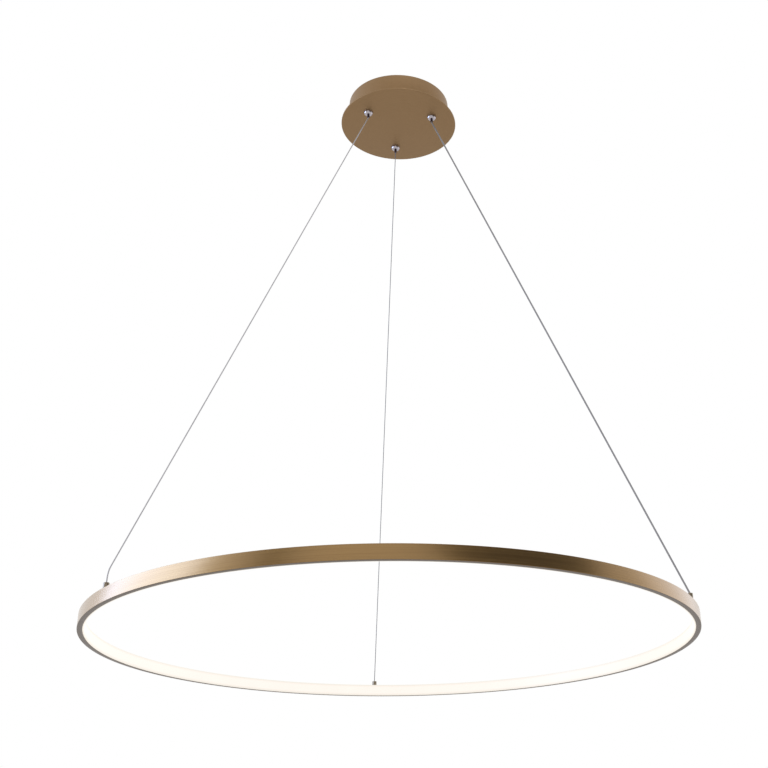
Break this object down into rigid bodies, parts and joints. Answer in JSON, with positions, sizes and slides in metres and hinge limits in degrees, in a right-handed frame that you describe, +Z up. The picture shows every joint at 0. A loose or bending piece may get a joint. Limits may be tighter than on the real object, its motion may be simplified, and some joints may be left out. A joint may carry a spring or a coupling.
{
  "type": "led pendant light",
  "caption": "Slim round LED pendant: a brass-coloured ring lit on its inner side, hung on steel cables from spring grippers in a round ceiling canopy, adjustable in height.",
  "frame": {"origin": "on the ceiling, midway between the two slots of the mounting bracket, on the canopy's axis", "axes": "+Z up to the ceiling, the lamp hangs towards -Z; +X along the mounting bracket; -Y is the side seen in the picture"},
  "size_m": [0.9999, 0.9999, 1.095],
  "materials": {
    "ring_brass": "brushed, anodised brass colour",
    "canopy_gold": "satin brown-gold paint",
    "chrome": "polished",
    "dark_nickel": "dark nickel plate",
    "steel_rope": "stranded",
    "power_sheath": "smooth grey sheath",
    "opal": "opal, lit warm white",
    "circuit_white": "white solder mask",
    "led_phosphor": "phosphor in a clear pad",
    "zinc_steel": "bright zinc",
    "driver_white": "fine moulded grain"
  },
  "bodies": {
    "canopy": {"mounting_bracket": "zinc_steel", "canopy_drum": "canopy_gold", "canopy_disc": "canopy_gold", "side_screws": "canopy_gold", "driver_case": "driver_white", "driver_cover_input": "driver_white", "driver_cover_output": "driver_white", "gripper_nuts": "zinc_steel", "gripper_bodies": "chrome", "cable_left": "power_sheath", "cable_upper_left": "power_sheath", "cable_right": "steel_rope", "cable_upper_right": "steel_rope", "cable_rear": "steel_rope", "cable_upper_rear": "steel_rope"},
    "ring": {"ring_profile": "ring_brass", "splice_key": "zinc_steel", "diffuser": "opal", "led_strip": "circuit_white", "leds": "led_phosphor", "barrel_nuts": "zinc_steel", "barrel_left": "canopy_gold", "barrel_right": "canopy_gold", "barrel_rear": "canopy_gold"},
    "plunger_left": {"gripper_plunger_left": "dark_nickel"},
    "plunger_right": {"gripper_plunger_right": "dark_nickel"},
    "plunger_rear": {"gripper_plunger_rear": "dark_nickel"}
  },
  "joints": [
    {"name": "ring_height", "type": "slide", "parent": "canopy", "child": "ring", "axis": [0, 0, 1], "range_m": [0, 0.6], "deforming": ["cable_left", "cable_right", "cable_rear"]},
    {"name": "release_left", "type": "slide", "parent": "canopy", "child": "plunger_left", "axis": [0, 0, 1], "range_m": [0, 0.002], "stiffness_N_per_m": 600, "springref_m": -0.003},
    {"name": "release_right", "type": "slide", "parent": "canopy", "child": "plunger_right", "axis": [0, 0, 1], "range_m": [0, 0.002], "stiffness_N_per_m": 600, "springref_m": -0.003},
    {"name": "release_rear", "type": "slide", "parent": "canopy", "child": "plunger_rear", "axis": [0, 0, 1], "range_m": [0, 0.002], "stiffness_N_per_m": 600, "springref_m": -0.003}
  ]
}
